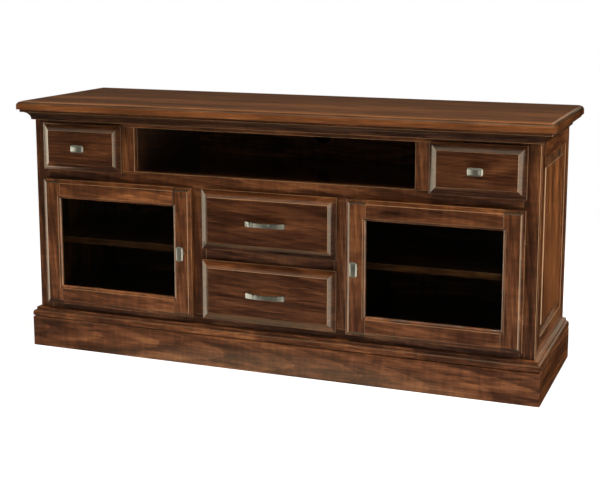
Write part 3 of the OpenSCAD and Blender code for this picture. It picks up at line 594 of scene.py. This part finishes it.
boards = {
    "steps": 2,
    "shortest": 0.007,
    "sharpest": 27,  # degrees
    "firstSeed": 11,
    # in each of these a node takes the value of the first word that its name holds
    "tones": {
        "left_drawer_front": 0.2,
        "lower_drawer_front": 0.1,
        "front": 0.0,
        "right_door_stiles": 0.22,
        "left_door": 0.5,
        "door": 0.38,
        # the rail between the drawers is darkened as painted shade from the drawer fronts that stand proud
        # of it
        "frame_drawer_rail": 0.0,
        "frame_end": 0.3,
        "frame": 0.38,
        "side_panel": 0.7,
        "back_panel": 1.0,
        "upper_partitions": 0.85,
        "top": 0.12,
        "crown": 0.0,
        "plinth": 0.37,
        "shelf": 0.95,
        "": 0.5,
    },
    "endShares": {
        "tabletop": 0.0,
        "crown": 0.0,
        "plinth": 0.0,
        "base_cap": 0.0,
        "drawer_front": 0.3,
        "side_panel": 0.62,
        "": 1.0,
    },
    "endLeans": {"side_panel": (0.03, 0.06), "": (0.16, 0.28)},  # where end grain starts and is full
    # how much glaze and painted shade each node's tilted faces take; on the side panels it darkens the
    # raised panel's bevels as painted shade
    "glazeAndShadeShares": {
        "tabletop": 1.0,
        "crown": 0.8,
        "base_cap": 0.4,
        "side_panel": 0.6,
        "door": 0.2,
        "": 0.0,
    },
    "creases": {"drawer_front": 10, "side_panel": 10, "door_": 12, "": 34},  # low, so coves keep their slope
    # the axis along which the face frame's boards butt against each other
    "buttEnds": {
        "frame_upper_stiles": 2,
        "frame_lower_stiles": 2,
        "frame_top_rail": 0,
        "frame_middle_rail": 0,
        "frame_bottom_rail": 0,
        "frame_drawer_rail": 0,
        "": None,
    },
    # each kind with its finish, its eased edges and its nodes, in the order of their seeds
    "kinds": {
        "plain": ("stained", easing, [
            "crown_moulding", "plinth", "base_cap", "frame_end_stiles", "frame_top_rail",
            "frame_middle_rail", "frame_bottom_rail", "frame_drawer_rail", "frame_upper_stiles",
            "frame_lower_stiles", "left_side_frame", "right_side_frame", "left_shelf", "right_shelf",
            "back_panel",
        ]),
        "inside": ("inside", easing, [
            "top_stretchers", "upper_partitions", "lower_partitions", "bottom_deck", "middle_deck",
        ]),
        "staved": ("topStaves", easing, ["tabletop"]),
        "sides": ("sideStaves", easing, ["left_side_panel", "right_side_panel"]),
        "fronts": ("calm", fineEasing, [
            "left_drawer_front", "right_drawer_front", "upper_drawer_front", "lower_drawer_front",
        ]),
        "fine": ("stained", fineEasing, [
            "left_door_stiles", "left_door_rails", "left_door_beads", "right_door_stiles",
            "right_door_rails", "right_door_beads",
        ]),
        "birch": ("birch", fineEasing, [
            "left_drawer_box", "right_drawer_box", "upper_drawer_box", "lower_drawer_box",
        ]),
        "ply": ("ply", fineEasing, [
            "slide_packing", "left_drawer_bottom", "right_drawer_bottom", "upper_drawer_bottom",
            "lower_drawer_bottom",
        ]),
    },
}


def valueFor(node, values):
    return next(value for word, value in values.items() if word in node)


def dressBoards(look):
    seed = look["firstSeed"]
    for kind, (finish, width, nodes) in look["kinds"].items():
        for node in nodes:
            piece = copyNode(node)
            butt = valueFor(node, look["buttEnds"])
            easeEdges(piece, width, look["steps"], look["shortest"], look["sharpest"], butt)
            tone = valueFor(node, look["tones"])
            endShare = valueFor(node, look["endShares"])
            glazeAndShadeShare = valueFor(node, look["glazeAndShadeShares"])
            layGrain(piece, seed, tone, endShare, glazeAndShadeShare, valueFor(node, look["endLeans"]))
            smoothFaces(piece, valueFor(node, look["creases"]))
            finishPiece(piece, node, finish)
            seed += 1
        print("boards dressed:", kind)


dressBoards(boards)


metal = {
    "crease": 40,
    "edges": {"width": 0.0034, "steps": 5, "shortest": 0.0005, "sharpest": 40},
    # the corners to round are long, sharp, level edges close to the pull's ends
    "pullEnds": {
        "radius": 0.0062,
        "steps": 6,
        "close": 0.9,  # share of the pull's half length
        "level": 0.0002,
        "shortest": 0.003,
        "leastTurn": 1.2,  # radians
        "facing": 0.7,
    },
    "nodes": {
        "handle": [
            "left_door_knob", "right_door_knob", "left_drawer_knob", "right_drawer_knob",
            "upper_drawer_pull", "lower_drawer_pull",
        ],
        "hinge": [
            "hinge_arms", "hinge_screws", "left_door_hinge_cups", "right_door_hinge_cups", "shelf_pins",
        ],
        "slide": [
            "cabinet_slides", "left_drawer_runners", "right_drawer_runners", "upper_drawer_runners",
            "lower_drawer_runners",
        ],
        "glass": ["left_door_glass", "right_door_glass"],
    },
}


# Rounds the four corners of a bow pull's band, seen from the front
def roundEnds(piece, look):
    mesh = openEdges(piece)
    reach = max(abs(point.co.x) for point in mesh.verts)
    for edge in mesh.edges:
        a, b = (point.co for point in edge.verts)
        atEnd = min(abs(a.x), abs(b.x)) > reach * look["close"] and abs(a.z - b.z) < look["level"]
        long = edge.calc_length() > look["shortest"]
        if atEnd and long and edge.is_manifold and edge.calc_face_angle(0) > look["leastTurn"]:
            edge.select_set(meetsFace(edge, 0, look["facing"]) and meetsFace(edge, 2))
    bmesh.update_edit_mesh(piece.data)
    print("pull corners to round:", sum(edge.select for edge in mesh.edges))
    bpy.ops.mesh.bevel(offset=look["radius"], segments=look["steps"], profile=0.5, clamp_overlap=True)
    bpy.ops.object.mode_set(mode="OBJECT")


def dressMetal(look):
    for finish, nodes in look["nodes"].items():
        for node in nodes:
            piece = copyNode(node)
            if "pull" in node:
                roundEnds(piece, look["pullEnds"])
            if finish == "handle":
                easeEdges(piece, **look["edges"])
            smoothFaces(piece, look["crease"], flat="knob" not in node)
            finishPiece(piece, node, finish)


dressMetal(metal)
print("metal and glass dressed")


paneFaces = 2


# Camera rays, also through one pane, but no light that a pane has mirrored inside
def straightRays(tree, rays):
    through = maths(tree, "LESS_THAN", rays["Ray Depth"], paneFaces + 0.5)
    through = maths(tree, "MULTIPLY", through, rays["Is Transmission Ray"])
    return maths(tree, "ADD", rays["Is Camera Ray"], through, True)


floorLook = {
    "size": 40.0,
    "colour": (0.84, 0.84, 0.83, 1),
    "mirrored": (0.24, 0.185, 0.11, 1),
    "nearWhite": 0.62,  # the share of pure white that the camera sees close to the console
    "whitening": (1.0, 3.2),  # from here to there it rises to all white
    # past an oval round the console gloss sees the room in place of the floor
    "ovalStretch": (0.75, 1.25, 1.0),
    "ovalFade": (0.42, 0.6),
}


def addFloor(look):
    bpy.ops.mesh.primitive_plane_add(size=look["size"], location=(0, 0, 0))
    floor = bpy.context.object
    floor.name = "floor"
    material, tree = newMaterial("paleFloor")
    rays = addNode(tree, "ShaderNodeLightPath").outputs
    inGloss = rays["Is Glossy Ray"]
    place = addNode(tree, "ShaderNodeTexCoord").outputs["Object"]
    away = lengthOf(tree, place)
    white = mapRange(tree, away, look["whitening"], (look["nearWhite"], 1.0), "SMOOTHSTEP")
    seen = maths(tree, "MULTIPLY", straightRays(tree, rays), white)
    oval = lengthOf(tree, vectorMaths(tree, "MULTIPLY", place, look["ovalStretch"]))
    farInGloss = maths(tree, "MULTIPLY", inGloss, mapRange(tree, oval, look["ovalFade"]))
    tint = mixColour(tree, inGloss, look["colour"], look["mirrored"])
    matte = addNode(tree, "ShaderNodeBsdfDiffuse", {"Color": tint}).outputs[0]
    beyond = addNode(tree, "ShaderNodeBsdfTransparent").outputs[0]
    lit = mixShader(tree, farInGloss, matte, beyond)
    glow = addNode(tree, "ShaderNodeEmission", {"Strength": 1.0}).outputs[0]
    addSurface(tree, mixShader(tree, seen, lit, glow))
    material.cycles.emission_sampling = "NONE"
    floor.data.materials.append(material)


# a black sheet that stands in for the shade behind the cable hole
shadeCardLook = {"radius": 0.0303, "place": (0.0, 0.2562, 0.665), "colour": (0.006, 0.005, 0.004, 1)}


# A black card close behind the cable hole, a dark sheet that stands in for the shade there so the hole looks
# dark; from behind it isn't seen
def addShadeCard(look):
    bpy.ops.mesh.primitive_circle_add(
        radius=look["radius"], fill_type="NGON", location=look["place"], rotation=(math.radians(90), 0, 0)
    )
    card = bpy.context.object
    card.name = "paintedShadeCard"
    material, tree = newMaterial("paintedShadeCard")
    behind = addNode(tree, "ShaderNodeNewGeometry").outputs["Backfacing"]
    fromCamera = addNode(tree, "ShaderNodeLightPath").outputs["Is Camera Ray"]
    dark = addNode(tree, "ShaderNodeBsdfDiffuse", {"Color": look["colour"]}).outputs[0]
    unseen = addNode(tree, "ShaderNodeBsdfTransparent").outputs[0]
    addSurface(tree, mixShader(tree, maths(tree, "MULTIPLY", behind, fromCamera), dark, unseen))
    card.data.materials.append(material)


lamps = {
    "leftSoftbox": {
        "place": (-3.2, -0.5, 1.3), "aim": (0, -0.1, 0.4), "width": 1.5, "height": 2.2, "watts": 30,
    },
    "topSoftbox": {
        "place": (-0.2, -0.66, 3.2), "aim": (0, -0.1, 0.4), "width": 2.6, "height": 1.3, "watts": 212,
    },
    "rightSoftbox": {
        "place": (2.9, -0.52, 2.4), "aim": (0.2, -0.1, 0.4), "width": 1.2, "height": 1.8, "watts": 205,
    },
}


def addLamp(name, look):
    lamp = bpy.data.lights.new(name, "AREA")
    lamp.shape = "RECTANGLE"
    lamp.size = look["width"]
    lamp.size_y = look["height"]
    lamp.energy = look["watts"]
    holder = bpy.data.objects.new(name, lamp)
    holder.location = look["place"]
    aimed = Vector(look["aim"]) - Vector(look["place"])
    holder.rotation_euler = aimed.to_track_quat("-Z", "Y").to_euler()
    holder.visible_glossy = False
    bpy.context.scene.collection.objects.link(holder)


room = {
    "white": (1, 1, 1, 1),
    "ambient": 0.12,
    # gloss sees bright panels: an axis, where along it each starts and is full, its strength, how far
    # back it is gone and is full, and the height above which it fades
    "tint": (1.0, 0.88, 0.66, 1),
    "panels": [
        {"axis": 0, "span": (-0.66, -0.80), "strength": 2.4, "depth": (0.65, 0.35), "ceiling": 0.03},
        {"axis": 0, "span": (0.46, 0.64), "strength": 2.2, "depth": (0.65, 0.35), "ceiling": 0.03},
        {"axis": 2, "span": (0.55, 0.90), "strength": 1.1, "depth": (-0.10, -0.32), "ceiling": 2.0},
    ],
    "ceilingFade": 0.2,
    # and a band behind the console, between the heights where it rises and falls
    "back": {"rise": (0.18, 0.28), "fall": (0.55, 0.42), "strength": 0.5, "depth": (0.0, 0.3)},
    "dark": 0.006,
}


# How bright the room is that gloss sees in a direction
def roomLight(tree, look, direction):
    sides = splitVector(tree, direction)
    bright = 0.0
    for panel in look["panels"]:
        fade = (panel["ceiling"] + look["ceilingFade"], panel["ceiling"])
        glow = mapRange(tree, sides[panel["axis"]], panel["span"], (0.0, panel["strength"]), "SMOOTHSTEP")
        glow = maths(tree, "MULTIPLY", glow, mapRange(tree, sides[1], panel["depth"]))
        glow = maths(tree, "MULTIPLY", glow, mapRange(tree, sides[2], fade))
        bright = maths(tree, "ADD", glow, bright)
    back = look["back"]
    low = mapRange(tree, sides[2], back["rise"], (0.0, back["strength"]))
    band = maths(tree, "MULTIPLY", low, mapRange(tree, sides[2], back["fall"]))
    band = maths(tree, "MULTIPLY", band, mapRange(tree, sides[1], back["depth"]))
    return maths(tree, "ADD", maths(tree, "ADD", bright, band), look["dark"])


def background(tree, colour, strength):
    return addNode(tree, "ShaderNodeBackground", {"Color": colour, "Strength": strength}).outputs[0]


def addRoom(look):
    world = bpy.data.worlds.new("studio")
    bpy.context.scene.world = world
    world.use_nodes = True
    world.cycles.sampling_method = "NONE"  # so that gloss sees its own room in full
    tree = world.node_tree
    tree.nodes.clear()
    rays = addNode(tree, "ShaderNodeLightPath").outputs
    direction = addNode(tree, "ShaderNodeTexCoord").outputs["Generated"]
    ambient = background(tree, look["white"], look["ambient"])
    mirrored = background(tree, look["tint"], roomLight(tree, look, direction))
    around = mixShader(tree, rays["Is Glossy Ray"], ambient, mirrored)
    white = background(tree, look["white"], 1.0)
    around = mixShader(tree, straightRays(tree, rays), around, white)
    addNode(tree, "ShaderNodeOutputWorld", {"Surface": around})


addFloor(floorLook)
addShadeCard(shadeCardLook)
for lampName, lampLook in lamps.items():
    addLamp(lampName, lampLook)
addRoom(room)
print("studio lit")
